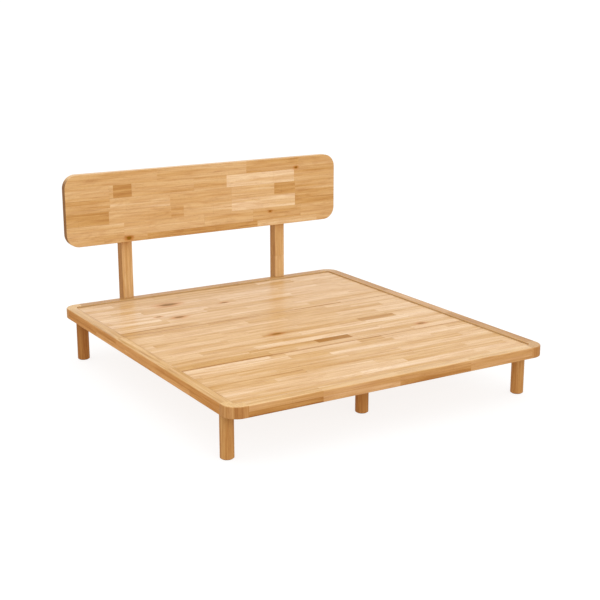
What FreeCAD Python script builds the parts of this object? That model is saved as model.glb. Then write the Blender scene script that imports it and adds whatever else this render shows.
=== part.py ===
import FreeCAD, Part
import math
import os

# Low oak platform bed: a rounded rim on round legs, loose deck boards dropped inside it,
# and a headboard panel carried by two posts behind the head rail.
# Millimetres, +Z up, +Y towards the head, origin on the floor under the middle of the whole bed.

# Mattress space and rim
mattress_width = 1800.0
mattress_length = 2000.0
rail_width = 60.0
rail_height = 60.0
rim_corner_radius = 80.0
corner_block_length = 100.0
outer_edge_round = 6.0
inner_edge_round = 2.0
floor_clearance = 240.0

# Deck boards
deck_recess = 8.0
deck_thickness = 20.0
wide_board_length = 710.0
board_gap = 2.0
deck_edge_gap = 2.5
board_edge_round = 3.0

# Under-frame
bearer_width = 80.0
bearer_housing = 20.0
beam_width = 80.0
lap_depth_share = 0.5
ledger_width = 25.0
ledger_end_gap = 6.0

# Legs
leg_diameter = 70.0
leg_side_inset = 62.0
leg_end_inset = 150.0
centre_leg_inset = 340.0
leg_foot_round = 4.0
pad_diameter = 56.0
pad_thickness = 3.0

# Headboard
board_width = 1870.0
board_height = 430.0
board_thickness = 45.0
board_corner_radius = 80.0
board_edge_radius = 2.0
board_bottom = 660.0
post_width = 68.0
post_depth = 65.0
post_spacing = 1080.0
post_housing = 20.0
post_top_drop = 50.0
post_edge_round = 2.5

# Leg bolts: a stud from the leg's top end into a threaded insert in the under-frame
stud_diameter = 10.0
stud_length_in_leg = 45.0
stud_length_above = 26.0
stud_insert_diameter = 15.0
stud_insert_length = 24.0

# Bolts that hold the posts to the head rail
post_bolt_diameter = 8.0
post_bolt_head_diameter = 16.0
post_bolt_head_height = 6.0
post_bolt_counterbore_depth = 12.0
post_insert_diameter = 13.0
post_insert_length = 18.0
post_bolt_spacing = 28.0

# Bolts that hold the headboard to the posts
board_bolt_diameter = 6.0
board_bolt_head_diameter = 13.0
board_bolt_head_height = 5.0
board_bolt_counterbore_depth = 10.0
board_insert_diameter = 10.0
board_insert_length = 20.0
board_bolt_margin = 60.0
board_bolts_per_post = 3

# Corner joints: dowels between rail and block, a flat steel plate let in underneath
dowel_diameter = 10.0
dowel_length = 60.0
dowel_spacing = 24.0
plate_thickness = 3.0
plate_width = 30.0
plate_edge_margin = 8.0
plate_arm_length = 90.0
plate_end_radius = 6.0

# Steel angles between bearer ends and side rails
angle_flange = 45.0
angle_height = 26.0
angle_thickness = 3.0

# Countersunk wood screws
screw_diameter = 4.5
screw_head_diameter = 9.0
screw_head_height = 2.6
plate_screw_length = 30.0
angle_screw_length = 28.0
ledger_screw_length = 42.0
lap_screw_length = 26.0
side_ledger_screws = 4

# Clearances and one overrun for every cut
joint_gap = 0.2
hole_gap = 0.2
overrun = 5.0

# Heights
rail_bottom = floor_clearance
rim_top = rail_bottom + rail_height
deck_top = rim_top - deck_recess
deck_bottom = deck_top - deck_thickness
bearer_thickness = deck_bottom - rail_bottom
post_top = board_bottom + board_height - post_top_drop

# Plan
bed_width = mattress_width + 2 * rail_width
bed_length = mattress_length + 2 * rail_width
post_proud = post_depth - post_housing
foot_face = -(bed_length + post_proud) / 2
head_face = foot_face + bed_length
side_face = bed_width / 2
well_side = mattress_width / 2
well_foot = foot_face + rail_width
well_head = head_face - rail_width
well_corner_radius = rim_corner_radius - rail_width
post_front = head_face - post_housing
post_back = post_front + post_depth
board_back = post_front
board_front = board_back - board_thickness
leg_x = side_face - leg_side_inset
bearer_end = well_side + bearer_housing

UP = FreeCAD.Vector(0, 0, 1)
LEFT_RIGHT = {"left": -1, "right": 1}
FOOT_HEAD = {"foot": -1, "head": 1}


def vec(x, y, z):
    return FreeCAD.Vector(x, y, z)


def box(x_range, y_range, z_range):
    """Box between two places on each axis, given in either order."""
    low = [min(r) for r in (x_range, y_range, z_range)]
    high = [max(r) for r in (x_range, y_range, z_range)]
    sizes = [h - l for l, h in zip(low, high)]
    return Part.makeBox(*sizes, vec(*low))


def rod(start, direction, diameter, length):
    return Part.makeCylinder(diameter / 2, length, start, direction)


def rounded_slab(half_width, half_length, radius, thickness):
    """Slab centred on the origin, its plan corners rounded, standing from z = 0."""
    slab = Part.makeBox(2 * half_width, 2 * half_length, thickness, vec(-half_width, -half_length, 0))
    corners = [e for e in slab.Edges if abs(e.tangentAt(e.FirstParameter).z) > math.cos(math.radians(45))]
    return slab.makeFillet(radius, corners)


def edges_at_height(shape, height):
    """Level edges of a shape that lie at one height."""
    near = [e for e in shape.Edges if abs(e.BoundBox.ZMin - height) < hole_gap]
    return [e for e in near if abs(e.BoundBox.ZMax - height) < hole_gap]


def turned(profile_points):
    """Solid of revolution about +Z from (radius, height) points that start and end on the axis."""
    points = [vec(r, 0, z) for r, z in profile_points]
    face = Part.Face(Part.makePolygon(points + points[:1]))
    return face.revolve(vec(0, 0, 0), UP, 360)


def aimed(shape, place, direction):
    """Copy of a shape modelled along +Z at the origin, turned to a direction and moved to a place."""
    moved = shape.copy()
    moved.Placement = FreeCAD.Placement(place, FreeCAD.Rotation(UP, direction))
    return moved


def wood_screw(length):
    """Countersunk screw, its head flush with z = 0 and its point up along +Z."""
    shank = screw_diameter / 2
    return turned([(0, 0), (screw_head_diameter / 2, 0), (shank, screw_head_height),
                   (shank, length - screw_diameter), (0, length)])


def screw_hole(length):
    """Room for that screw, with the countersink open below z = 0."""
    head = screw_head_diameter / 2 + hole_gap
    shank = screw_diameter / 2 + hole_gap
    return turned([(0, -overrun), (head, -overrun), (head, 0), (shank, screw_head_height),
                   (shank, length + hole_gap), (0, length + hole_gap)])


def socket_bolt(diameter, head_diameter, head_height, length):
    """Bolt with its seat at z = 0, shank up along +Z, head below with a hexagon socket."""
    head = rod(vec(0, 0, -head_height), UP, head_diameter, head_height)
    bolt = head.fuse(rod(vec(0, 0, 0), UP, diameter, length)).removeSplitter()
    across = diameter / 2
    corners = [vec(across * math.cos(math.radians(60 * k)), across * math.sin(math.radians(60 * k)), 0)
               for k in range(6)]
    socket = Part.Face(Part.makePolygon(corners + corners[:1])).extrude(vec(0, 0, head_height / 2 + overrun))
    socket.translate(vec(0, 0, -head_height - overrun))
    return bolt.cut(socket)


def threaded_insert(outer, inner, length):
    """Sleeve from z = 0 up, open at both ends."""
    return rod(vec(0, 0, 0), UP, outer, length).cut(
        rod(vec(0, 0, -overrun), UP, inner + 2 * hole_gap, length + 2 * overrun))


def along(start, end, count, margin):
    """Evenly spaced places between two ends, a margin in from each."""
    first = start + margin
    step = (end - start - 2 * margin) / (count - 1)
    return [first + step * k for k in range(count)]


def spread(count, spacing):
    """Evenly spaced offsets about zero."""
    return [spacing * (k - (count - 1) / 2) for k in range(count)]


parts = {}
fasteners = {}


def add_fastener(group, shape):
    fasteners.setdefault(group, []).append(shape)


def level_rims(slab):
    """Top and bottom edges of a slab that stands from z = 0 to the rails' height."""
    return edges_at_height(slab, rail_height) + edges_at_height(slab, 0)


# Rim: one rounded ring, then sawn into four rails and four corner blocks
ring_middle_y = (foot_face + head_face) / 2
outer_slab = rounded_slab(side_face, bed_length / 2, rim_corner_radius, rail_height)
well_slab = rounded_slab(well_side, mattress_length / 2, well_corner_radius, rail_height + 2 * overrun)
well_slab.translate(vec(0, 0, -overrun))
outer_slab = outer_slab.makeFillet(outer_edge_round, level_rims(outer_slab))
ring = outer_slab.cut(well_slab)
well_edges = [e for e in level_rims(ring) if e.distToShape(well_slab)[0] < hole_gap]
ring = ring.makeFillet(inner_edge_round, well_edges)
ring.translate(vec(0, ring_middle_y, rail_bottom))

rim_z = (rail_bottom - overrun, rim_top + overrun)
rail_end_x = side_face - corner_block_length
rail_end_foot = foot_face + corner_block_length
rail_end_head = head_face - corner_block_length
rail_end_y = {"foot": rail_end_foot, "head": rail_end_head}
end_face_y = {"foot": foot_face, "head": head_face}

for side, sx in LEFT_RIGHT.items():
    span_x = (sx * (well_side - rim_corner_radius), sx * (side_face + overrun))
    parts["side_rail_" + side] = ring.common(box(span_x, (rail_end_foot, rail_end_head), rim_z))
    for end, sy in FOOT_HEAD.items():
        block_x = (sx * rail_end_x, sx * (side_face + overrun))
        block_y = (rail_end_y[end], end_face_y[end] + sy * overrun)
        parts["corner_block_" + end + "_" + side] = ring.common(box(block_x, block_y, rim_z))
for end, sy in FOOT_HEAD.items():
    span_y = (end_face_y[end] - sy * rim_corner_radius, end_face_y[end] + sy * overrun)
    parts[end + "_rail"] = ring.common(box((-rail_end_x, rail_end_x), span_y, rim_z))


def cut_from(node, tools):
    parts[node] = parts[node].cut(tools)


# Corner dowels: a pair along each rail, half in the rail and half in the block
dowel_inset = rail_width / 2
dowel_heights = [rail_bottom + rail_height / 2 + dz for dz in spread(2, dowel_spacing)]
dowel_half = dowel_length / 2
for side, sx in LEFT_RIGHT.items():
    for end, sy in FOOT_HEAD.items():
        block = "corner_block_" + end + "_" + side
        side_joint = (sx * (side_face - dowel_inset), rail_end_y[end])
        end_joint = (sx * rail_end_x, end_face_y[end] - sy * dowel_inset)
        for rail, (jx, jy), run in ((("side_rail_" + side), side_joint, vec(0, sy, 0)),
                                    ((end + "_rail"), end_joint, vec(sx, 0, 0))):
            for z in dowel_heights:
                start = vec(jx, jy, z) - run * dowel_half
                add_fastener("corner_dowels", rod(start, run, dowel_diameter, dowel_length))
                hole = rod(start - run * hole_gap, run, dowel_diameter + 2 * hole_gap,
                           dowel_length + 2 * hole_gap)
                cut_from(rail, [hole])
                cut_from(block, [hole])


# Corner plates: flat steel let in flush under each corner, following its curve
def plate_outline(gap):
    """Plate for the corner at +X and +Y, its curve centred on the origin, grown by a gap."""
    outer = rim_corner_radius - plate_edge_margin + gap
    inner = outer - plate_width - 2 * gap
    arm = corner_block_length - rim_corner_radius + plate_arm_length + gap
    slope = math.cos(math.radians(45))
    points = [vec(outer, -arm, 0), vec(outer, 0, 0), vec(0, outer, 0), vec(-arm, outer, 0),
              vec(-arm, inner, 0), vec(0, inner, 0), vec(inner, 0, 0), vec(inner, -arm, 0)]
    edges = [Part.makeLine(points[0], points[1]),
             Part.Arc(points[1], vec(outer * slope, outer * slope, 0), points[2]).toShape(),
             Part.makeLine(points[2], points[3]),
             Part.makeLine(points[3], points[4]),
             Part.makeLine(points[4], points[5]),
             Part.Arc(points[5], vec(inner * slope, inner * slope, 0), points[6]).toShape(),
             Part.makeLine(points[6], points[7]),
             Part.makeLine(points[7], points[0])]
    slab = Part.Face(Part.Wire(edges)).extrude(vec(0, 0, plate_thickness))
    arm_ends = [e for e in slab.Edges if e.BoundBox.ZLength > plate_thickness / 2
                and min(e.BoundBox.XMin, e.BoundBox.YMin) < -arm / 2]
    return slab.makeFillet(plate_end_radius, arm_ends)


plate_line = rim_corner_radius - plate_edge_margin - plate_width / 2
rail_screw_margin = dowel_half + corner_block_length - rim_corner_radius + screw_head_diameter
plate_arm_end = plate_arm_length + corner_block_length - rim_corner_radius - screw_head_diameter
block_screw_angles = (25.0, 45.0, 65.0)
plate_holes = [vec(plate_line * math.cos(math.radians(a)), plate_line * math.sin(math.radians(a)), 0)
               for a in block_screw_angles]
for run in (rail_screw_margin, plate_arm_end):
    plate_holes.append(vec(plate_line, -run, 0))
    plate_holes.append(vec(-run, plate_line, 0))

plate_screw = wood_screw(plate_screw_length)
plate_screw_room = screw_hole(plate_screw_length)
for side, sx in LEFT_RIGHT.items():
    for end, sy in FOOT_HEAD.items():
        quarter_turns = {(1, 1): 0, (-1, 1): 1, (-1, -1): 2, (1, -1): 3}[(sx, sy)]
        centre = vec(sx * (side_face - rim_corner_radius), end_face_y[end] - sy * rim_corner_radius, rail_bottom)
        place = FreeCAD.Placement(centre, FreeCAD.Rotation(UP, 90 * quarter_turns))
        plate = plate_outline(0)
        plate.Placement = place
        bed = plate_outline(joint_gap)
        bed.Placement = place
        rooms = []
        for hole in plate_holes:
            spot = place.multVec(hole)
            add_fastener("corner_plate_screws", aimed(plate_screw, spot, UP))
            rooms.append(aimed(plate_screw_room, spot, UP))
        parts["corner_plate_" + end + "_" + side] = plate.cut(rooms)
        for node in ("corner_block_" + end + "_" + side, "side_rail_" + side, end + "_rail"):
            cut_from(node, [bed] + rooms)

# Cross bearers: housed in the side rails, notched on top for the centre beam
bearer_y = {end: end_face_y[end] - sy * leg_end_inset for end, sy in FOOT_HEAD.items()}
bearer_z = (rail_bottom, deck_bottom)
lap_depth = bearer_thickness * lap_depth_share
lap_level = deck_bottom - lap_depth
for end, sy in FOOT_HEAD.items():
    y_span = (bearer_y[end] - bearer_width / 2, bearer_y[end] + bearer_width / 2)
    reach = bearer_end - joint_gap
    bearer = box((-reach, reach), y_span, bearer_z)
    notch_half = beam_width / 2 + joint_gap
    notch = box((-notch_half, notch_half), (y_span[0] - overrun, y_span[1] + overrun),
                (lap_level, deck_bottom + overrun))
    parts["bearer_" + end] = bearer.cut(notch)
    housing_y = (y_span[0] - joint_gap, y_span[1] + joint_gap)
    for side, sx in LEFT_RIGHT.items():
        housing = box((sx * (well_side - overrun), sx * bearer_end), housing_y,
                      (rail_bottom - overrun, deck_bottom))
        cut_from("side_rail_" + side, [housing])

# Centre beam: its ends lapped into the bearers, two screws down through each lap
beam_end_foot = bearer_y["foot"] - bearer_width / 2
beam_end_head = bearer_y["head"] + bearer_width / 2
beam = box((-beam_width / 2, beam_width / 2), (beam_end_foot, beam_end_head), bearer_z)
lap_screw = wood_screw(lap_screw_length)
lap_screw_room = screw_hole(lap_screw_length)
for end, sy in FOOT_HEAD.items():
    shoulder = bearer_y[end] - sy * (bearer_width / 2 + joint_gap)
    beam_half = beam_width / 2 + overrun
    waste = box((-beam_half, beam_half), (shoulder, end_face_y[end]), (rail_bottom - overrun, lap_level))
    beam = beam.cut(waste)
    rooms = []
    for dx in spread(2, beam_width / 2):
        spot = vec(dx, bearer_y[end], deck_bottom)
        add_fastener("lap_screws", aimed(lap_screw, spot, -UP))
        rooms.append(aimed(lap_screw_room, spot, -UP))
    beam = beam.cut(rooms)
    cut_from("bearer_" + end, rooms)
parts["centre_beam"] = beam

# Steel angles tie the bearer ends to the side rails
angle_screw = wood_screw(angle_screw_length)
angle_screw_room = screw_hole(angle_screw_length)
angle_low = rail_bottom + (bearer_thickness - angle_height) / 2
angle_z = (angle_low, angle_low + angle_height)
angle_middle = angle_low + angle_height / 2
screw_steps = along(angle_thickness, angle_flange, 2, screw_head_diameter)
for side, sx in LEFT_RIGHT.items():
    for end, sy in FOOT_HEAD.items():
        inner_edge = bearer_y[end] - sy * bearer_width / 2
        wall = sx * well_side
        on_bearer = box((wall, wall - sx * angle_flange), (inner_edge, inner_edge - sy * angle_thickness), angle_z)
        on_rail = box((wall, wall - sx * angle_thickness), (inner_edge, inner_edge - sy * angle_flange), angle_z)
        rooms = {"bearer_" + end: [], "side_rail_" + side: []}
        for step in screw_steps:
            to_bearer = vec(wall - sx * step, inner_edge - sy * angle_thickness, angle_middle)
            to_rail = vec(wall - sx * angle_thickness, inner_edge - sy * step, angle_middle)
            for node, spot, aim in (("bearer_" + end, to_bearer, vec(0, sy, 0)),
                                    ("side_rail_" + side, to_rail, vec(sx, 0, 0))):
                add_fastener("angle_screws", aimed(angle_screw, spot, aim))
                rooms[node].append(aimed(angle_screw_room, spot, aim))
        angle = on_bearer.fuse(on_rail).removeSplitter()
        parts["bearer_angle_" + end + "_" + side] = angle.cut(sum(rooms.values(), []))
        for node, tools in rooms.items():
            cut_from(node, tools)

# Ledger strips screwed inside the rails, level with the bearers, to carry the deck boards;
# the end strips' screws lie halfway to each post and halfway on from it, clear of the post bolts
ledger_screw = wood_screw(ledger_screw_length)
ledger_screw_room = screw_hole(ledger_screw_length)
ledger_middle = (rail_bottom + deck_bottom) / 2
strip_from_bearer = bearer_width / 2 + angle_flange + ledger_end_gap
strip_foot = bearer_y["foot"] + strip_from_bearer
strip_head = bearer_y["head"] - strip_from_bearer
for side, sx in LEFT_RIGHT.items():
    inner = sx * (well_side - ledger_width)
    strip = box((inner, sx * well_side), (strip_foot, strip_head), bearer_z)
    rooms = []
    for y in along(strip_foot, strip_head, side_ledger_screws, leg_end_inset):
        spot = vec(inner, y, ledger_middle)
        add_fastener("ledger_screws", aimed(ledger_screw, spot, vec(sx, 0, 0)))
        rooms.append(aimed(ledger_screw_room, spot, vec(sx, 0, 0)))
    parts["side_ledger_" + side] = strip.cut(rooms)
    cut_from("side_rail_" + side, rooms)
reach = rail_end_x - ledger_end_gap
post_middle = post_spacing / 2
end_screw_steps = (post_middle / 2, (post_middle + reach) / 2)
end_screw_places = [sx * step for sx in LEFT_RIGHT.values() for step in end_screw_steps]
for end, sy in FOOT_HEAD.items():
    wall = end_face_y[end] - sy * rail_width
    inner = wall - sy * ledger_width
    strip = box((-reach, reach), (inner, wall), bearer_z)
    rooms = []
    for x in end_screw_places:
        spot = vec(x, inner, ledger_middle)
        add_fastener("ledger_screws", aimed(ledger_screw, spot, vec(0, sy, 0)))
        rooms.append(aimed(ledger_screw_room, spot, vec(0, sy, 0)))
    parts[end + "_ledger"] = strip.cut(rooms)
    cut_from(end + "_rail", rooms)

# Round legs: four at the corners under bearer and rail, two under the centre beam
leg_radius = leg_diameter / 2
leg_bottom = pad_thickness
leg_height = rail_bottom - leg_bottom
leg_blank = rod(vec(0, 0, leg_bottom), UP, leg_diameter, leg_height)
leg_blank = leg_blank.makeFillet(leg_foot_round, edges_at_height(leg_blank, leg_bottom))
stud_hole = rod(vec(0, 0, rail_bottom - stud_length_in_leg - hole_gap), UP,
                stud_diameter + 2 * hole_gap, stud_length_in_leg + overrun)
leg = leg_blank.cut(stud_hole)
stud = rod(vec(0, 0, rail_bottom - stud_length_in_leg), UP, stud_diameter, stud_length_in_leg + stud_length_above)
pad = rod(vec(0, 0, 0), UP, pad_diameter, pad_thickness)
stud_insert = threaded_insert(stud_insert_diameter, stud_diameter, stud_insert_length)
stud_insert.translate(vec(0, 0, rail_bottom))
insert_room = rod(vec(0, 0, rail_bottom - overrun), UP, stud_insert_diameter + 2 * hole_gap,
                  stud_insert_length + overrun)
stud_room = rod(vec(0, 0, rail_bottom), UP, stud_diameter + 2 * hole_gap, stud_length_above + hole_gap)

leg_spots = {}
for end, sy in FOOT_HEAD.items():
    leg_spots["centre_leg_" + end] = ("centre_beam", vec(0, end_face_y[end] - sy * centre_leg_inset, 0))
    for side, sx in LEFT_RIGHT.items():
        leg_spots["leg_" + end + "_" + side] = ("bearer_" + end, vec(sx * leg_x, bearer_y[end], 0))
for node, (carrier, spot) in leg_spots.items():
    parts[node] = leg.translated(spot)
    add_fastener("leg_studs", stud.translated(spot))
    add_fastener("leg_inserts", stud_insert.translated(spot))
    add_fastener("leg_pads", pad.translated(spot))
    cut_from(carrier, [insert_room.translated(spot), stud_room.translated(spot)])

# Deck boards: two wide ones and a narrower one at the foot, loose inside the rim
deck_side = well_side - deck_edge_gap
deck_foot = well_foot + deck_edge_gap
deck_head = well_head - deck_edge_gap
deck_slab = rounded_slab(deck_side, (deck_head - deck_foot) / 2, well_corner_radius - deck_edge_gap, deck_thickness)
deck_slab.translate(vec(0, (deck_foot + deck_head) / 2, deck_bottom))
upper_seam = deck_head - wide_board_length
lower_seam = upper_seam - board_gap - wide_board_length
board_spans = {"deck_board_head": (upper_seam, deck_head),
               "deck_board_middle": (lower_seam, upper_seam - board_gap),
               "deck_board_foot": (deck_foot, lower_seam - board_gap)}
for node, y_span in board_spans.items():
    blank = deck_slab.common(box((-side_face, side_face), y_span, (deck_bottom - overrun, deck_top + overrun)))
    parts[node] = blank.makeFillet(board_edge_round, edges_at_height(blank, deck_top))

# Headboard panel: rounded oak board standing in front of its two posts
panel = rounded_slab(board_width / 2, board_height / 2, board_corner_radius, board_thickness)
panel = panel.makeFillet(board_edge_radius, edges_at_height(panel, 0) + edges_at_height(panel, board_thickness))
panel.Placement = FreeCAD.Placement(vec(0, board_back, board_bottom + board_height / 2),
                                    FreeCAD.Rotation(vec(1, 0, 0), 90))
parts["headboard"] = panel

# Posts: let into the back of the head rail and bolted to it, the headboard bolted on from behind
post_bolt_length = post_depth - post_bolt_counterbore_depth + post_insert_length
post_bolt = socket_bolt(post_bolt_diameter, post_bolt_head_diameter, post_bolt_head_height, post_bolt_length)
post_insert = threaded_insert(post_insert_diameter, post_bolt_diameter, post_insert_length)
board_bolt_length = post_depth - board_bolt_counterbore_depth + board_insert_length
board_bolt = socket_bolt(board_bolt_diameter, board_bolt_head_diameter, board_bolt_head_height, board_bolt_length)
board_insert = threaded_insert(board_insert_diameter, board_bolt_diameter, board_insert_length)
TO_FOOT = vec(0, -1, 0)


def bolt_rooms(spot, diameter, head_diameter, counterbore):
    """Through hole and counterbore for a bolt that enters a post's back face."""
    through = rod(spot - TO_FOOT * overrun, TO_FOOT, diameter + 2 * hole_gap, post_depth + 2 * overrun)
    recess = rod(spot - TO_FOOT * overrun, TO_FOOT, head_diameter + 2 * hole_gap, counterbore + overrun)
    return [through, recess]


for side, sx in LEFT_RIGHT.items():
    post_x = sx * post_middle
    post_half = post_width / 2
    post = box((post_x - post_half, post_x + post_half), (post_front, post_back), (rail_bottom, post_top))
    long_edges = [e for e in post.Edges if e.BoundBox.ZLength > post_width]
    post = post.makeFillet(post_edge_round, [e for e in long_edges if e.BoundBox.YMin > post_front])
    housing_half = post_half + joint_gap
    housing = box((post_x - housing_half, post_x + housing_half), (post_front, head_face + overrun), rim_z)
    cut_from("head_rail", [housing])
    for z in [rail_bottom + rail_height / 2 + dz for dz in spread(2, post_bolt_spacing)]:
        spot = vec(post_x, post_back, z)
        post = post.cut(bolt_rooms(spot, post_bolt_diameter, post_bolt_head_diameter, post_bolt_counterbore_depth))
        seat = spot + TO_FOOT * post_bolt_counterbore_depth
        add_fastener("post_bolts", aimed(post_bolt, seat, TO_FOOT))
        mouth = vec(post_x, post_front, z)
        add_fastener("post_inserts", aimed(post_insert, mouth, TO_FOOT))
        cut_from("head_rail", [rod(mouth - TO_FOOT * overrun, TO_FOOT, post_insert_diameter + 2 * hole_gap,
                                   post_insert_length + overrun + hole_gap)])
    for z in along(board_bottom, post_top, board_bolts_per_post, board_bolt_margin):
        spot = vec(post_x, post_back, z)
        post = post.cut(bolt_rooms(spot, board_bolt_diameter, board_bolt_head_diameter,
                                   board_bolt_counterbore_depth))
        seat = spot + TO_FOOT * board_bolt_counterbore_depth
        add_fastener("headboard_bolts", aimed(board_bolt, seat, TO_FOOT))
        mouth = vec(post_x, board_back, z)
        add_fastener("headboard_inserts", aimed(board_insert, mouth, TO_FOOT))
        cut_from("headboard", [rod(mouth - TO_FOOT * overrun, TO_FOOT, board_insert_diameter + 2 * hole_gap,
                                   board_insert_length + overrun + hole_gap)])
    parts["headboard_post_" + side] = post

for node, solids in fasteners.items():
    parts[node] = Part.makeCompound(solids)

os.makedirs("parts", exist_ok=True)
for node, shape in parts.items():
    shape.exportStep("parts/" + node + ".step")
    print(node, len(shape.Solids), shape.isValid(), round(shape.Volume))
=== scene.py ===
import math

import bmesh
import bpy
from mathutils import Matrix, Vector


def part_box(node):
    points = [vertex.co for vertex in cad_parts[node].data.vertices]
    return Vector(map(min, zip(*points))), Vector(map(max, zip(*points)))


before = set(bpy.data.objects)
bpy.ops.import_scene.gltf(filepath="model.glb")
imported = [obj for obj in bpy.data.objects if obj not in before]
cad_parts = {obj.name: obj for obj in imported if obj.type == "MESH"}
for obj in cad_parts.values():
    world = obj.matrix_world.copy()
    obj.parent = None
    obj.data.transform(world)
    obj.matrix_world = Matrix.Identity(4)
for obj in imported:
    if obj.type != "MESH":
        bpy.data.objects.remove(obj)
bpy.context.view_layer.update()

# Rim rails
# Four straight rails of glued oak lengths, planed, their edges eased and oiled. They lie flat round
# the deck: the grain runs along each rail, and the lengths butt end to end.


def linear(hex_colour):
    """Linear colour with alpha from an sRGB hex value."""
    shares = [int(hex_colour[k:k + 2], 16) / 255 for k in (0, 2, 4)]
    return [s / 12.92 if s <= 0.04045 else ((s + 0.055) / 1.055) ** 2.4 for s in shares] + [1.0]


def node(tree, kind, inputs, **settings):
    """Adds a shader node and gives its outputs. Inputs go by socket name, or by number where a node's
    names repeat, and each is a value or another node's output."""
    made = tree.nodes.new("ShaderNode" + kind)
    for key, value in settings.items():
        setattr(made, key, value)
    for key, value in inputs.items():
        if isinstance(value, bpy.types.NodeSocket):
            tree.links.new(value, made.inputs[key])
        else:
            made.inputs[key].default_value = value
    return made.outputs


def new_material(name):
    """An empty material, its node tree and its shader."""
    made = bpy.data.materials.new(name)
    made.use_nodes = True
    return made, made.node_tree, made.node_tree.nodes["Principled BSDF"]


def dress(material, names):
    """Puts one finish on the named pieces."""
    for name in names:
        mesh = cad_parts[name].data
        mesh.materials.clear()
        mesh.materials.append(material)


ALONG_X, ALONG_Y, ALONG_Z = 0, 1, 2


def wood_axes(tree, along, across):
    """Place on the piece in metres: along the grain, across the rows of staves, and through them."""
    place = node(tree, "SeparateXYZ", {"Vector": node(tree, "TexCoord", {})["Object"]})
    through = ALONG_X + ALONG_Y + ALONG_Z - along - across
    return place[along], place[across], place[through]


def glued_staves(tree, axes, rows, stave_length, seed, tone_range, picked):
    """Rows of staves cut to uneven lengths. Gives each stave a tone and a chance number, both from 0 to 1,
    and a mask of the glue lines. Tones lie within the range, apart from the picked staves, which are
    (row, from, to, tone), with rows counted up from 0."""
    u, v, _ = axes
    row_width, row_start = rows
    row_place = node(tree, "Math", {0: v, 1: row_start}, operation="SUBTRACT")[0]
    row_place = node(tree, "Math", {0: row_place, 1: row_width}, operation="DIVIDE")[0]
    row = node(tree, "Math", {0: row_place}, operation="FLOOR")[0]

    # The rows lie far apart on one endless run of staves, so that their butt ends don't line up
    row_jump = 97.3
    run_start = node(tree, "Math", {0: row, 1: row_jump, 2: seed}, operation="MULTIPLY_ADD")[0]
    run = node(tree, "Math", {0: u, 1: 1 / stave_length, 2: run_start}, operation="MULTIPLY_ADD")[0]
    cells = {"W": run, "Scale": 1.0, "Randomness": 0.8}
    cell_colour = node(tree, "TexVoronoi", cells, voronoi_dimensions="1D")["Color"]
    dice = node(tree, "SeparateColor", {"Color": cell_colour})
    tone = node(tree, "MapRange", {"Value": dice[0], "To Min": tone_range[0], "To Max": tone_range[1]})[0]
    chance = dice[1]

    # A picked stave has a tone and a chance number of its own
    chance_step = 7.7
    half_row = 0.5
    for picked_row, start, end, picked_tone in picked:
        middle = (start + end) / 2
        half_stave = (end - start) / 2
        own_chance = (picked_tone * chance_step + start) % 1
        in_row = node(tree, "Math", {0: row, 1: float(picked_row), 2: half_row}, operation="COMPARE")[0]
        in_run = node(tree, "Math", {0: u, 1: middle, 2: half_stave}, operation="COMPARE")[0]
        inside = node(tree, "Math", {0: in_row, 1: in_run}, operation="MULTIPLY")[0]
        tone = node(tree, "Mix", {"Factor": inside, "A": tone, "B": picked_tone})[0]
        chance = node(tree, "Mix", {"Factor": inside, "A": chance, "B": own_chance})[0]

    # Glue lines 0.7 mm wide, between rows and at butt ends
    half_line = 0.00035
    row_share = node(tree, "Math", {0: row_place}, operation="FRACT")[0]
    from_middle = node(tree, "Math", {0: row_share, 1: half_row}, operation="SUBTRACT")[0]
    from_middle = node(tree, "Math", {0: from_middle}, operation="ABSOLUTE")[0]
    line_start = half_row - half_line / row_width
    row_line = node(tree, "Math", {0: from_middle, 1: line_start}, operation="GREATER_THAN")[0]
    butts = node(tree, "TexVoronoi", cells, voronoi_dimensions="1D", feature="DISTANCE_TO_EDGE")["Distance"]
    butt_line = node(tree, "Math", {0: butts, 1: half_line / stave_length}, operation="LESS_THAN")[0]
    glue = node(tree, "Math", {0: row_line, 1: butt_line}, operation="MAXIMUM")[0]
    return tone, chance, glue


def grain_noise(tree, axes, size, chance, detail=3.0):
    """Noise drawn out along the grain into marks of a size, which is (length, width) in metres. The chance
    number moves it for each stave, so that marks stop at the stave's edge."""
    u, v, w = axes
    length, width = size
    stave_jump = 61.0
    jump = node(tree, "Math", {0: chance, 1: stave_jump}, operation="MULTIPLY")[0]
    along = node(tree, "Math", {0: u, 1: 1 / length, 2: jump}, operation="MULTIPLY_ADD")[0]
    across = node(tree, "Math", {0: v, 1: 1 / width, 2: jump}, operation="MULTIPLY_ADD")[0]
    through = node(tree, "Math", {0: w, 1: 1 / width}, operation="MULTIPLY")[0]
    at = node(tree, "CombineXYZ", {"X": along, "Y": across, "Z": through})[0]
    return node(tree, "TexNoise", {"Vector": at, "Scale": 1.0, "Detail": detail, "Roughness": 0.55})[0]


def tone_colour(tree, tone, tones):
    """Colour from a ramp of evenly spaced tones, dark to pale."""
    ramp = node(tree, "ValToRGB", {0: tone})
    stops = ramp[0].node.color_ramp.elements
    while len(stops) < len(tones):
        stops.new(0.5)
    for k, hex_colour in enumerate(tones):
        stops[k].position = k / (len(tones) - 1)
        stops[k].color = linear(hex_colour)
    return ramp[0]


def tinted(tree, colour, depth, hex_colour, blend="MULTIPLY"):
    """Colour with a tint laid over it where the depth is above 0. It lays real stains, and also painted
    shade and painted light.
    """
    layers = {0: depth, 6: colour, 7: linear(hex_colour)}
    return node(tree, "Mix", layers, data_type="RGBA", blend_type=blend)[2]


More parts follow.
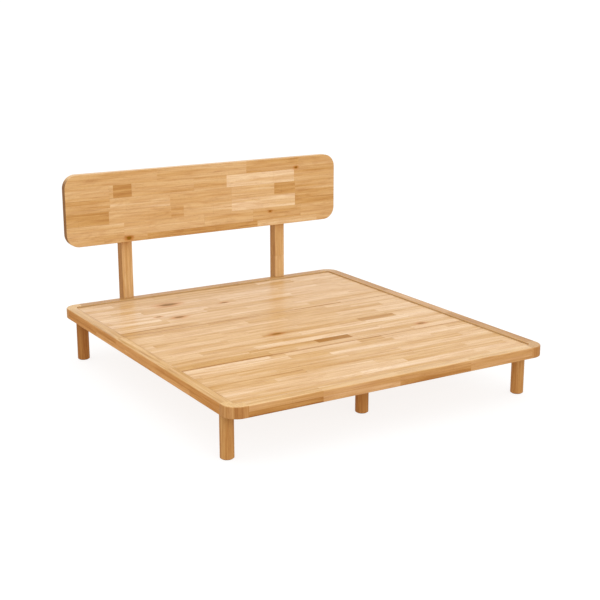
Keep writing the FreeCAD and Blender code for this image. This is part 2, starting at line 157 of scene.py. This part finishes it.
def with_knot(tree, colour, axes, wobble, knot):
    """Colour with a knot: a dark heart in a wider amber halo, longer along the grain than across it. The
    knot is (along, across, radius)."""
    u, v, _ = axes
    along, across, radius = knot
    stretch = 2.0
    away = node(tree, "Math", {0: u, 1: along}, operation="SUBTRACT")[0]
    away = node(tree, "Math", {0: away, 1: stretch}, operation="DIVIDE")[0]
    aside = node(tree, "Math", {0: v, 1: across}, operation="SUBTRACT")[0]
    offset = node(tree, "CombineXYZ", {"X": away, "Y": aside})[0]
    reach = node(tree, "VectorMath", {0: offset}, operation="LENGTH")["Value"]
    reach = node(tree, "Math", {0: reach, 1: wobble}, operation="MULTIPLY")[0]

    # The halo, then the heart over it, each full up to one share of the radius and gone at the other
    for full_share, gone_share, depth, hex_colour, blend in ((0.7, 2.4, 0.7, "e0a84c", "MULTIPLY"),
                                                             (0.6, 1.0, 0.95, "8a5e02", "MIX")):
        fade = {"Value": reach, "From Min": full_share * radius, "From Max": gone_share * radius,
                "To Min": depth, "To Max": 0.0}
        mask = node(tree, "MapRange", fade, interpolation_type="SMOOTHSTEP")[0]
        colour = tinted(tree, colour, mask, hex_colour, blend)
    return colour


def face_share(tree, axis, start):
    """How squarely a surface faces an axis, either way, as a share that rises from 0 at the start."""
    square_on = 0.95
    facing = node(tree, "SeparateXYZ", {"Vector": node(tree, "NewGeometry", {})["Normal"]})[axis]
    facing = node(tree, "Math", {0: facing}, operation="ABSOLUTE")[0]
    return node(tree, "MapRange", {"Value": facing, "From Min": start, "From Max": square_on})[0]


def beside_edge(tree, low, high, corner, width):
    """Mask of a line of a width along the edge of a level rectangle from its low to its high corner. The
    rectangle's corners have the corner radius."""
    any_height = 9.0
    middle = [(low[k] + high[k]) / 2 for k in (ALONG_X, ALONG_Y)] + [0.0]
    core = [(high[k] - low[k]) / 2 - corner for k in (ALONG_X, ALONG_Y)] + [any_height]
    place = node(tree, "TexCoord", {})["Object"]
    offset = node(tree, "VectorMath", {0: place, 1: middle}, operation="SUBTRACT")[0]
    offset = node(tree, "VectorMath", {0: offset}, operation="ABSOLUTE")[0]
    beyond = node(tree, "VectorMath", {0: offset, 1: core}, operation="SUBTRACT")[0]
    outside = node(tree, "VectorMath", {0: beyond, 1: (0.0, 0.0, 0.0)}, operation="MAXIMUM")[0]
    outside = node(tree, "VectorMath", {0: outside}, operation="LENGTH")["Value"]
    sides = node(tree, "SeparateXYZ", {"Vector": beyond})
    inside = node(tree, "Math", {0: sides[ALONG_X], 1: sides[ALONG_Y]}, operation="MAXIMUM")[0]
    inside = node(tree, "Math", {0: inside, 1: 0.0}, operation="MINIMUM")[0]
    reach = node(tree, "Math", {0: outside, 1: inside}, operation="ADD")[0]
    reach = node(tree, "Math", {0: reach, 1: corner}, operation="SUBTRACT")[0]
    reach = node(tree, "Math", {0: reach}, operation="ABSOLUTE")[0]
    fade = {"Value": reach, "From Min": width / 2, "From Max": width, "To Min": 1.0, "To Max": 0.0}
    return node(tree, "MapRange", fade)[0]


HONEY = ("a4743a", "c69c60", "d7b37f", "e1c195", "efd8b8")


def oiled_oak(name, along, across, rows, stave_length, seed, tones=HONEY, tone_range=(0.35, 0.65),
              sway=0.3, picked=(), knots=(), end_grain=("8d5c2e", 0.6), face_shade=None,
              shade_and_joint_edge=None, painted_light_edge=None, specular=0.12):
    """Oak of edge-glued staves with an oiled satin surface. The eye sees staves in mixed honey tones, long
    soft streaks, fine grain lines, short dark pores and darker end grain. Rows are (width, start), knots
    are (along, across, radius), and an edge line is (low, high, corner, width), all in metres: the shade
    and joint edge paints shade and dark joints darker, and the painted light edge paints a paler line. The
    sway is how far the streaks move a stave's tone. End grain is (colour, depth), and a face shade is
    (axis, colour), painted shade on the faces square to that axis."""
    material, tree, shader = new_material(name)
    axes = wood_axes(tree, along, across)
    tone, chance, glue = glued_staves(tree, axes, rows, stave_length, seed, tone_range, picked)

    # Streaks 20 mm wide and half a metre long shift the tone inside each stave
    streak_size = (0.5, 0.020)
    streaks = grain_noise(tree, axes, streak_size, chance)
    drift = node(tree, "MapRange", {"Value": streaks, "From Min": 0.25, "From Max": 0.75,
                                    "To Min": -sway, "To Max": sway})[0]
    tone = node(tree, "Math", {0: tone, 1: drift}, operation="ADD", use_clamp=True)[0]
    colour = tone_colour(tree, tone, tones)

    # Faces across the grain show end grain, where the lines and pores below turn into dots
    end_colour, end_depth = end_grain
    end_share = face_share(tree, along, start=0.6)
    end_share = node(tree, "Math", {0: end_share, 1: end_depth}, operation="MULTIPLY")[0]
    colour = tinted(tree, colour, end_share, end_colour, "MIX")

    # Growth figure: contour lines of a slow noise, 90 mm wide and 0.7 m long
    swell_size = (0.7, 0.09)
    ring_count = 62.0
    swell = grain_noise(tree, axes, swell_size, chance, detail=2.0)
    rings = node(tree, "Math", {0: swell, 1: ring_count}, operation="MULTIPLY")[0]
    rings = node(tree, "Math", {0: rings}, operation="SINE")[0]
    figure = node(tree, "MapRange", {"Value": rings, "From Min": -0.2, "To Max": 0.16})[0]

    # Grain lines 5 mm wide and an arm long, a few darker mineral streaks 12 mm wide, and pores, which are
    # drawn twice as wide as real ones so that they show
    line_size = (0.35, 0.005)
    mineral_size = (0.26, 0.012)
    pore_size = (0.018, 0.0012)
    lines = grain_noise(tree, axes, line_size, chance)
    line_depth = node(tree, "MapRange", {"Value": lines, "From Min": 0.42, "From Max": 0.74,
                                         "To Max": 0.32})[0]
    minerals = grain_noise(tree, axes, mineral_size, chance, detail=2.0)
    mineral_depth = node(tree, "MapRange", {"Value": minerals, "From Min": 0.58, "From Max": 0.72,
                                            "To Max": 0.32})[0]
    pores = grain_noise(tree, axes, pore_size, chance, detail=1.0)
    pore_depth = node(tree, "MapRange", {"Value": pores, "From Min": 0.60, "From Max": 0.72,
                                         "To Max": 0.3})[0]
    glue_share = 0.35
    glue_depth = node(tree, "Math", {0: glue, 1: glue_share}, operation="MULTIPLY")[0]
    for depth, tint in ((figure, "cc9d70"), (line_depth, "c69260"), (mineral_depth, "b98c5c"),
                         (pore_depth, "8a5a2b"), (glue_depth, "8a5a2b")):
        colour = tinted(tree, colour, depth, tint)

    # Knots have an uneven outline
    wobble = node(tree, "MapRange", {"Value": minerals, "From Min": 0.3, "From Max": 0.7,
                                     "To Min": 0.6, "To Max": 1.4})[0]
    for knot in knots:
        colour = with_knot(tree, colour, axes, wobble, knot)

    # A dark line along an edge: painted shade where the deck drops below the rim, and a dark joint where
    # two deck boards meet
    if shade_and_joint_edge:
        joint_shade_share = 0.4
        joint_shade = beside_edge(tree, *shade_and_joint_edge)
        joint_shade = node(tree, "Math", {0: joint_shade, 1: joint_shade_share}, operation="MULTIPLY")[0]
        colour = tinted(tree, colour, joint_shade, "a8743c")

    # A paler line along the rim's inner edge: painted light laid over the shade of the recess wall
    if painted_light_edge:
        painted_light_share = 0.3
        painted_light = beside_edge(tree, *painted_light_edge)
        painted_light = node(tree, "Math", {0: painted_light, 1: painted_light_share}, operation="MULTIPLY")[0]
        colour = tinted(tree, colour, painted_light, "ecd0a0", "MIX")

    # The faces square to one axis are painted darker: painted shade for the sides that get less light
    if face_shade:
        shaded_axis, tint = face_shade
        colour = tinted(tree, colour, face_share(tree, shaded_axis, start=0.5), tint)

    # Level faces are smoother than upright ones, and open grain is duller and dents the surface
    upright_roughness, level_roughness = 0.5, 0.3
    line_dullness = 0.15
    level = face_share(tree, ALONG_Z, start=0.5)
    satin = node(tree, "MapRange", {"Value": level, "To Min": upright_roughness,
                                    "To Max": level_roughness})[0]
    dull = node(tree, "Math", {0: line_depth, 1: line_dullness, 2: satin}, operation="MULTIPLY_ADD")[0]
    dent = node(tree, "Math", {0: pore_depth, 1: line_depth}, operation="ADD")[0]
    relief = node(tree, "Bump", {"Height": dent, "Strength": 0.12, "Distance": 0.0005}, invert=True)[0]
    tree.links.new(colour, shader.inputs["Base Color"])
    tree.links.new(dull, shader.inputs["Roughness"])
    tree.links.new(relief, shader.inputs["Normal"])
    shader.inputs["IOR"].default_value = 1.5
    shader.inputs["Specular IOR Level"].default_value = specular
    return material


# A rail shows two rows of staves on its height, which run a little past its faces
rail_low, rail_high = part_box("foot_rail")
row_spill = 0.005
rail_rows = ((rail_high[ALONG_Z] - rail_low[ALONG_Z]) / 2 + row_spill, rail_low[ALONG_Z] - row_spill)

# The rim's inner edge, with a line along it: painted shade darker on some rails and painted light paler on
# others
well_low = (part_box("side_rail_left")[1][ALONG_X], rail_high[ALONG_Y])
well_high = (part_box("side_rail_right")[0][ALONG_X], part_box("head_rail")[0][ALONG_Y])
well_corner = 0.02
rim_line_width = 0.006
rim_line = (well_low, well_high, well_corner, rim_line_width)

# The left rail's side faces are painted darker, a painted shade, and a painted shade line runs along the
# rim's inner edge.
dress(oiled_oak("oiled_oak_left_rail", ALONG_Y, ALONG_Z, rail_rows, stave_length=0.62, seed=3.0,
                face_shade=(ALONG_X, "f4dab6"), shade_and_joint_edge=rim_line),
      ["side_rail_left"])

foot_rail_staves = ((0, -0.86, -0.455, 0.17), (1, -0.86, -0.455, 0.50),
                    (0, -0.455, -0.005, 0.72), (1, -0.455, -0.005, 0.50),
                    (0, -0.005, 0.443, 0.32), (1, -0.005, 0.443, 0.47),
                    (0, 0.443, 0.86, 0.58), (1, 0.443, 0.86, 0.54))
# The foot rail's front and back faces are painted darker, a painted shade, and a painted shade line runs
# along the rim's inner edge.
dress(oiled_oak("oiled_oak_foot_rail", ALONG_X, ALONG_Z, rail_rows, stave_length=0.44, seed=11.0,
                picked=foot_rail_staves, face_shade=(ALONG_Y, "ecdcca"), shade_and_joint_edge=rim_line),
      ["foot_rail"])

# The right and head rails take darker tones, a painted shade for the bed's shaded side, and a paler painted
# light line along the rim's inner edge.
SHADED_SIDE_HONEY = ("a06e2e", "b08042", "bb8e54", "c69a66", "d6b286")
dress(oiled_oak("oiled_oak_right_rail", ALONG_Y, ALONG_Z, rail_rows, stave_length=0.62, seed=5.0,
                tones=SHADED_SIDE_HONEY, painted_light_edge=rim_line),
      ["side_rail_right"])
dress(oiled_oak("oiled_oak_head_rail", ALONG_X, ALONG_Z, rail_rows, stave_length=0.50, seed=17.0,
                tones=SHADED_SIDE_HONEY, painted_light_edge=rim_line),
      ["head_rail"])

# Corner blocks
# One short oak block at each corner, its grain upright, shaped to the rim's round and dowelled between
# the rail ends. Narrow upright streaks make its face look darker than the rails.
BLOCK_BROWN = ("956434", "aa7742", "b88750", "c3955f", "cea46f")
# The right blocks' end-grain tops are darker, a painted shade for the bed's shaded side.
PALE_TOP, SHADED_TOP = "dcb982", "c29b66"
top_depth = 0.9
block_row = 0.034
block_spill = 0.001
block_rows = (block_row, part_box("corner_block_foot_left")[0][ALONG_X] - block_spill)

# Rows are counted from the left blocks' outer face, so only those two have picked staves. A stave picked
# over the whole length reaches far past both ends of its piece
WHOLE_LENGTH = (-9.0, 9.0)
left_block_staves = tuple((row, *WHOLE_LENGTH, tone) for row, tone in enumerate((0.62, 0.3, 0.42)))
# The front left block carries a painted shade line along the rim's inner edge, and the others carry a
# painted light line.
for corner, top, edge in (("foot_left", PALE_TOP, {"shade_and_joint_edge": rim_line}),
                          ("foot_right", SHADED_TOP, {"painted_light_edge": rim_line}),
                          ("head_left", PALE_TOP, {"painted_light_edge": rim_line}),
                          ("head_right", SHADED_TOP, {"painted_light_edge": rim_line})):
    dress(oiled_oak("oiled_oak_block_" + corner, ALONG_Z, ALONG_X, block_rows, stave_length=0.9, seed=23.0,
                    tones=BLOCK_BROWN, picked=left_block_staves, end_grain=(top, top_depth), **edge),
          ["corner_block_" + corner])

# Corner dowels
# Beech pins glued half in the rail and half in the block, hidden once the corner is closed.
# Turned beech is pale, even and dry.


def plain_wood(name, pale, deep, along, line_width, roughness):
    """Planed bare wood: an even tone with straight grain lines of the given width in metres."""
    material, tree, shader = new_material(name)
    line_length = 0.25
    stretch = [1 / line_width] * 3
    stretch[along] = 1 / line_length
    at = node(tree, "Mapping", {"Vector": node(tree, "TexCoord", {})["Object"], "Scale": stretch})[0]
    grain = node(tree, "TexNoise", {"Vector": at, "Scale": 1.0, "Detail": 3.0, "Roughness": 0.6})[0]
    share = node(tree, "MapRange", {"Value": grain, "From Min": 0.3, "From Max": 0.72})[0]
    colour = node(tree, "Mix", {0: share, 6: linear(pale), 7: linear(deep)}, data_type="RGBA")[2]
    relief = node(tree, "Bump", {"Height": share, "Strength": 0.15, "Distance": 0.0004}, invert=True)[0]
    tree.links.new(colour, shader.inputs["Base Color"])
    tree.links.new(relief, shader.inputs["Normal"])
    shader.inputs["Roughness"].default_value = roughness
    shader.inputs["IOR"].default_value = 1.5
    return material


dress(plain_wood("raw_beech", "e0c096", "c79c6c", ALONG_Y, line_width=0.002, roughness=0.7),
      ["corner_dowels"])

# Corner plates and their screws
# Flat steel plates, punched and zinc plated, let in flush under each corner and held by countersunk
# wood screws. Zinc gives a cool grey with faint cloudy crystals.


def zinc_plate(name, bright, cloud, roughness):
    """Zinc-plated steel: cool grey metal, clouded in patches of about 6 mm."""
    material, tree, shader = new_material(name)
    patch = 0.00625
    cloud_dullness = 0.12
    at = node(tree, "TexCoord", {})["Object"]
    clouds = node(tree, "TexNoise", {"Vector": at, "Scale": 1 / patch, "Detail": 3.0})[0]
    share = node(tree, "MapRange", {"Value": clouds, "From Min": 0.35, "From Max": 0.65})[0]
    colour = node(tree, "Mix", {0: share, 6: linear(bright), 7: linear(cloud)}, data_type="RGBA")[2]
    dull = node(tree, "MapRange", {"Value": share, "To Min": roughness,
                                   "To Max": roughness + cloud_dullness})[0]
    tree.links.new(colour, shader.inputs["Base Color"])
    tree.links.new(dull, shader.inputs["Roughness"])
    shader.inputs["Metallic"].default_value = 1.0
    return material


plated_steel = zinc_plate("zinc_plated_steel", "c6c9cc", "aeb2b6", roughness=0.34)
plated_screws = zinc_plate("zinc_plated_screws", "cfcdc4", "b4b1a6", roughness=0.28)
dress(plated_steel, ["corner_plate_foot_left", "corner_plate_foot_right",
                     "corner_plate_head_left", "corner_plate_head_right"])
dress(plated_screws, ["corner_plate_screws"])

# Under-frame
# Two bearers housed in the side rails, a beam lapped into them and ledger strips inside the rails, all
# planed and left bare because the deck hides them. Steel angles tie the bearers to the rails.
BARE_OAK = ("dcbd8e", "bf9560")
cross_wood = plain_wood("planed_bare_oak_crosswise", *BARE_OAK, ALONG_X, line_width=0.006, roughness=0.62)
long_wood = plain_wood("planed_bare_oak_lengthwise", *BARE_OAK, ALONG_Y, line_width=0.006, roughness=0.62)
dress(cross_wood, ["bearer_foot", "bearer_head", "foot_ledger", "head_ledger"])
dress(long_wood, ["centre_beam", "side_ledger_left", "side_ledger_right"])
dress(plated_steel, ["bearer_angle_foot_left", "bearer_angle_foot_right",
                     "bearer_angle_head_left", "bearer_angle_head_right"])
dress(plated_screws, ["lap_screws", "angle_screws", "ledger_screws"])

# Legs
# Round oak legs turned from solid lengths, oiled like the rim and screwed up into the under-frame with a
# stud. A felt disc under each one meets the floor.
LEG_BROWN = ("9d6834", "b07d44", "bd8d53", "c89b62", "d5ad78")

# A row is wider than a leg, so that each leg is of one piece, and the legs further back are painted darker,
# a painted shade
leg_row = 0.2
leg_spill = 0.065
leg_rows = (leg_row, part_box("leg_foot_left")[0][ALONG_Y] - leg_spill)
leg_shade_staves = []
for leg, tone in (("leg_foot_left", 0.55), ("centre_leg_foot", 0.3),
                  ("centre_leg_head", 0.3), ("leg_head_left", 0.15)):
    row_of_leg = int((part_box(leg)[0][ALONG_Y] - leg_rows[1]) / leg_row)
    leg_shade_staves.append((row_of_leg, *WHOLE_LENGTH, tone))
dress(oiled_oak("oiled_oak_legs", ALONG_Z, ALONG_Y, leg_rows, stave_length=1.2, seed=31.0,
                tones=LEG_BROWN, picked=leg_shade_staves),
      ["leg_foot_left", "leg_foot_right", "leg_head_left", "leg_head_right",
       "centre_leg_foot", "centre_leg_head"])
dress(plated_screws, ["leg_studs", "leg_inserts"])


def pressed_felt(name, light, dark):
    """Pressed wool felt: brown-grey with a short tangled nap, fibres about half a millimetre across."""
    material, tree, shader = new_material(name)
    fibres_per_metre = 1900.0
    at = node(tree, "TexCoord", {})["Object"]
    nap = node(tree, "TexNoise", {"Vector": at, "Scale": fibres_per_metre,
                                  "Detail": 4.0, "Roughness": 0.7})[0]
    colour = node(tree, "Mix", {0: nap, 6: linear(light), 7: linear(dark)}, data_type="RGBA")[2]
    relief = node(tree, "Bump", {"Height": nap, "Strength": 0.5, "Distance": 0.0006})[0]
    tree.links.new(colour, shader.inputs["Base Color"])
    tree.links.new(relief, shader.inputs["Normal"])
    shader.inputs["Roughness"].default_value = 0.95
    shader.inputs["Sheen Weight"].default_value = 0.3
    return material


dress(pressed_felt("pressed_felt", "857868", "4e453b"), ["leg_pads"])

# Deck boards
# Three loose boards of edge-glued oak staves that run across the bed. They lie on ledgers and bearers,
# a little below the rim, and their satin oil catches the light at a low angle.
DECK_HONEY = ("a8742a", "c99e62", "d7b384", "e1c199", "eed7b8")
head_board_staves = ((0, -0.90, -0.42, 0.32), (0, -0.42, 0.20, 0.46))
head_board_knots = ((-0.394, 0.760, 0.028), (-0.460, 0.474, 0.016), (-0.560, 0.540, 0.010),
                    (-0.080, 0.630, 0.010))
middle_board_staves = ((0, -0.90, -0.36, 0.25), (1, -0.45, -0.04, 0.38), (1, -0.04, 0.18, -0.15),
                       (4, 0.42, 0.70, 0.82), (5, -0.24, 0.40, 0.36), (5, 0.40, 0.65, 0.16))
middle_board_knots = ((-0.150, -0.120, 0.017), (0.664, -0.364, 0.013))
foot_board_staves = ((9, 0.16, 0.32, 0.28), (9, -0.30, 0.16, 0.62))
edge_spill = 0.0005

# A dark line follows a board's edges: painted shade where the board meets the rim, and a dark joint where
# two boards meet. Its right end has none, because there the line lies past the wood
past_end = 0.02
board_line_width = 0.007
for board, row_count, seed, tone_range, sway, staves, knots in (
        ("head", 12, 41.0, (0.36, 0.80), 0.30, head_board_staves, head_board_knots),
        ("middle", 12, 47.0, (0.36, 0.76), 0.27, middle_board_staves, middle_board_knots),
        ("foot", 10, 53.0, (0.28, 0.74), 0.28, foot_board_staves, ())):
    low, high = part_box("deck_board_" + board)
    row_width = (high[ALONG_Y] - low[ALONG_Y] + 2 * edge_spill) / row_count
    board_rows = (row_width, low[ALONG_Y] - edge_spill)
    board_line = (low, (high[ALONG_X] + past_end, high[ALONG_Y]), 0.0, board_line_width)
    dress(oiled_oak("oiled_oak_" + board + "_board", ALONG_X, ALONG_Y, board_rows,
                    stave_length=0.66, seed=seed, tones=DECK_HONEY, tone_range=tone_range, sway=sway,
                    picked=staves, knots=knots, shade_and_joint_edge=board_line, specular=0.05),
          ["deck_board_" + board])

# Headboard
# One panel of edge-glued oak staves laid level, its corners rounded and its edges eased, bolted to the
# posts from behind. Pale and dark staves are mixed.
PALE_PANEL = ("be8d50", "cfa366", "dab37d", "e2c08f", "f1d7b1")
panel_row = 0.078
panel_row_count = 6
panel_spill = 0.0005
panel_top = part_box("headboard")[1][ALONG_Z]
panel_rows = (panel_row, panel_top + panel_spill - panel_row_count * panel_row)
panel_staves = ((5, -0.94, -0.346, 0.50), (5, -0.346, 0.273, 0.56), (5, 0.273, 0.66, 0.34),
                (4, -0.634, -0.514, 0.19), (4, 0.131, 0.626, 0.92), (4, 0.626, 0.94, 0.44),
                (3, -0.657, -0.262, 0.62), (3, 0.477, 0.633, 0.27), (3, 0.633, 0.94, 0.42),
                (2, -0.94, -0.666, 0.24), (2, -0.666, -0.257, 0.55), (2, -0.257, -0.171, 0.42),
                (2, -0.171, 0.166, 0.64), (2, 0.166, 0.633, 0.90), (2, 0.633, 0.94, 0.31),
                (1, -0.94, -0.571, 0.60),
                (0, -0.572, -0.512, 0.26), (0, -0.42, 0.351, 0.20), (0, 0.351, 0.80, 0.58))
panel_knots = ((-0.542, 0.685, 0.010), (0.445, 0.752, 0.005), (0.640, 1.022, 0.008))
dress(oiled_oak("oiled_oak_headboard", ALONG_X, ALONG_Z, panel_rows, stave_length=0.52, seed=61.0,
                tones=PALE_PANEL, tone_range=(0.42, 0.6), sway=0.28, picked=panel_staves, knots=panel_knots,
                end_grain=("80562a", 0.9)),
      ["headboard"])

# Headboard posts
# Two square oak posts let into the back of the head rail, with socket bolts from behind into threaded
# inserts in the rail and the panel. A row is far wider than a post, so that each is of one piece.
post_row = 0.6
post_rows = (post_row, -1.5 * post_row)
# The posts' side faces are painted darker, a painted shade.
dress(oiled_oak("oiled_oak_posts", ALONG_Z, ALONG_X, post_rows, stave_length=1.5, seed=71.0,
                tones=PALE_PANEL, tone_range=(0.4, 0.6), face_shade=(ALONG_X, "d6c4b0")),
      ["headboard_post_left", "headboard_post_right"])
dress(plated_screws, ["post_bolts", "headboard_bolts", "post_inserts", "headboard_inserts"])

# Floor, light and camera
# A plain pale paper floor, lit evenly so that the bed leaves only a faint shadow, in a white room with
# warmer light from below. One large soft lamp stands in front, and the camera a little over two metres
# up, off the bed's front left corner.
floor_reach = 2000.0
floor_mesh = bpy.data.meshes.new("floor")
floor_form = bmesh.new()
bmesh.ops.create_grid(floor_form, x_segments=1, y_segments=1, size=floor_reach)
floor_form.to_mesh(floor_mesh)
floor_form.free()
floor = bpy.data.objects.new("floor", floor_mesh)
bpy.context.scene.collection.objects.link(floor)
paper, _, paper_shader = new_material("studio_paper")
paper_shader.inputs["Base Color"].default_value = linear("7a7a7a")
paper_shader.inputs["Roughness"].default_value = 0.9
paper_shader.inputs["Specular IOR Level"].default_value = 0.0
paper_shader.inputs["Emission Color"].default_value = linear("ffffff")
paper_shader.inputs["Emission Strength"].default_value = 0.83
floor_mesh.materials.append(paper)
floor.visible_diffuse = False
floor.visible_glossy = False

room = bpy.data.worlds.new("studio")
bpy.context.scene.world = room
room.use_nodes = True
room_tree = room.node_tree
height = node(room_tree, "SeparateXYZ", {"Vector": node(room_tree, "TexCoord", {})["Generated"]})["Z"]
above = node(room_tree, "MapRange", {"Value": height, "From Min": -0.06, "From Max": -0.01})[0]
wall = node(room_tree, "Mix", {0: height, 6: linear("e0e0e0"), 7: linear("ffffff")}, data_type="RGBA")[2]
light = node(room_tree, "Mix", {0: above, 6: linear("cebdaa"), 7: wall}, data_type="RGBA")[2]
room_tree.links.new(light, room_tree.nodes["Background"].inputs["Color"])
room_tree.nodes["Background"].inputs["Strength"].default_value = 1.35

lamp_place = Vector((-0.6, -6.5, 2.8))
lamp_aim = Vector((0.0, 0.0, 0.5))
lamp = bpy.data.lights.new("front_softbox", "AREA")
lamp.shape = "RECTANGLE"
lamp.size = 4.0
lamp.size_y = 2.5
lamp.energy = 75.0
lamp_object = bpy.data.objects.new("front_softbox", lamp)
lamp_object.location = lamp_place
lamp_object.rotation_euler = (lamp_aim - lamp_place).to_track_quat("-Z", "Y").to_euler()
lamp_object.visible_camera = False
bpy.context.scene.collection.objects.link(lamp_object)
bpy.context.scene.view_settings.view_transform = "Standard"

camera_tilt = 0.2572
camera_turn = 0.5495
lens = bpy.data.cameras.new("camera")
lens.sensor_width = 36.0
lens.lens = 70.72
camera = bpy.data.objects.new("camera", lens)
camera.location = (-3.3147, -5.5367, 2.1356)
camera.rotation_euler = (math.pi / 2 - camera_tilt, 0.0, -camera_turn)
bpy.context.scene.collection.objects.link(camera)
bpy.context.scene.camera = camera
